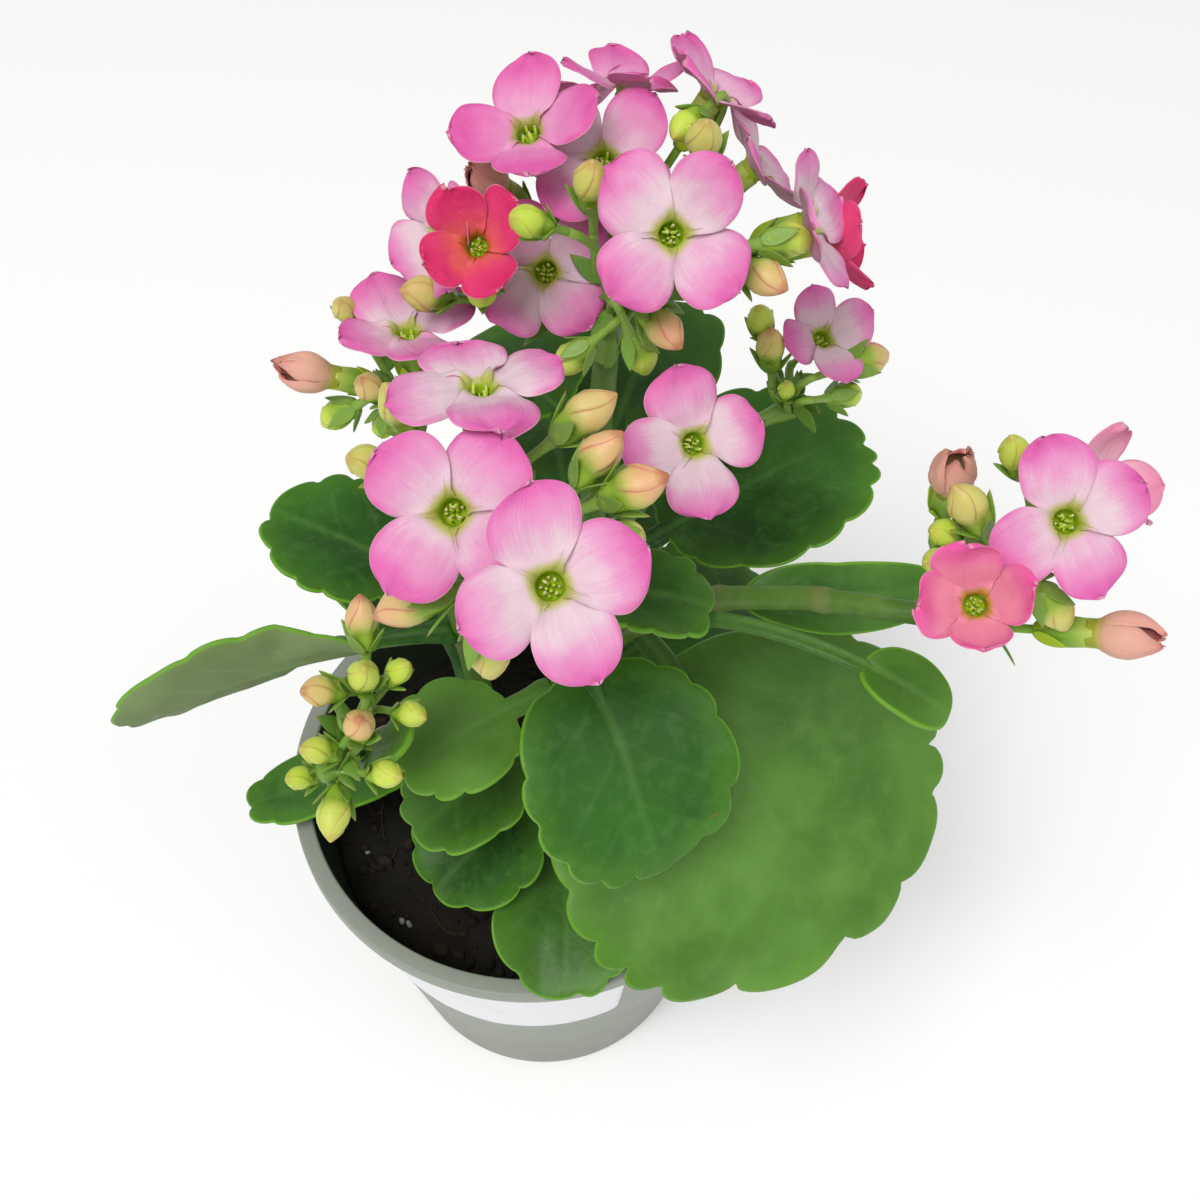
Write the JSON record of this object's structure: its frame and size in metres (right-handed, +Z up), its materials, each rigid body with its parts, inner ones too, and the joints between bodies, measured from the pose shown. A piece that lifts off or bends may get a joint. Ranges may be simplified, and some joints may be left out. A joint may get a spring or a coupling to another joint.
{
  "type": "potted kalanchoe",
  "caption": "Flowering succulent in a tapered plastic nursery pot: scalloped fleshy leaves on upright shoots, topped by branched heads of four-petalled flowers and buds.",
  "frame": {"origin": "centre of the flat underside of the pot", "axes": "+Z up along the pot's axis, -Y the side that the label and the largest leaf face, +X to the right of that side"},
  "size_m": [0.1723, 0.141, 0.2612],
  "materials": {
    "pot": "satin",
    "label": "coated",
    "soil": "loose and damp",
    "stem": "waxy",
    "bud": "waxy",
    "leaf": "waxy",
    "petal": "velvety"
  },
  "bodies": {
    "root": {"bract_low_left": "leaf", "bract_right": "leaf", "bract_right_low": "leaf", "cyme_back_right": "bud", "cyme_front": "bud", "cyme_left": "bud", "cyme_low_left": "bud", "cyme_right": "bud", "cyme_top": "bud", "flower_back_right": "petal", "flower_front_high": "petal", "flower_front_left": "petal", "flower_front_low": "petal", "flower_front_right": "petal", "flower_left": "petal", "flower_left_bud": "petal", "flower_right_back": "petal", "flower_right_bud": "petal", "flower_right_cup": "petal", "flower_right_front": "petal", "flower_right_tall_bud": "petal", "flower_top_back": "petal", "flower_top_back_left": "petal", "flower_top_back_right": "petal", "flower_top_front": "petal", "flower_top_front_right": "petal", "flower_top_left": "petal", "flower_top_left_bud": "petal", "flower_top_left_high": "petal", "flower_top_left_red": "petal", "flower_top_middle": "petal", "flower_top_right": "petal", "flower_top_right_high": "petal", "flower_top_right_red": "petal", "label": "label", "leaf_back_left": "leaf", "leaf_back_left_low": "leaf", "leaf_back_low": "leaf", "leaf_back_middle": "leaf", "leaf_back_right_low": "leaf", "leaf_back_top": "leaf", "leaf_bright_left": "leaf", "leaf_front_large": "leaf", "leaf_front_middle": "leaf", "leaf_inner_left": "leaf", "leaf_inner_low": "leaf", "leaf_left": "leaf", "leaf_left_long": "leaf", "leaf_low_left": "leaf", "leaf_middle_right": "leaf", "leaf_right_back": "leaf", "leaf_rim_front": "leaf", "pot": "pot", "shoot_back_right": "stem", "shoot_front": "stem", "shoot_left": "stem", "shoot_low_left": "stem", "shoot_right": "stem", "shoot_top": "stem", "soil": "soil"}
  },
  "joints": []
}
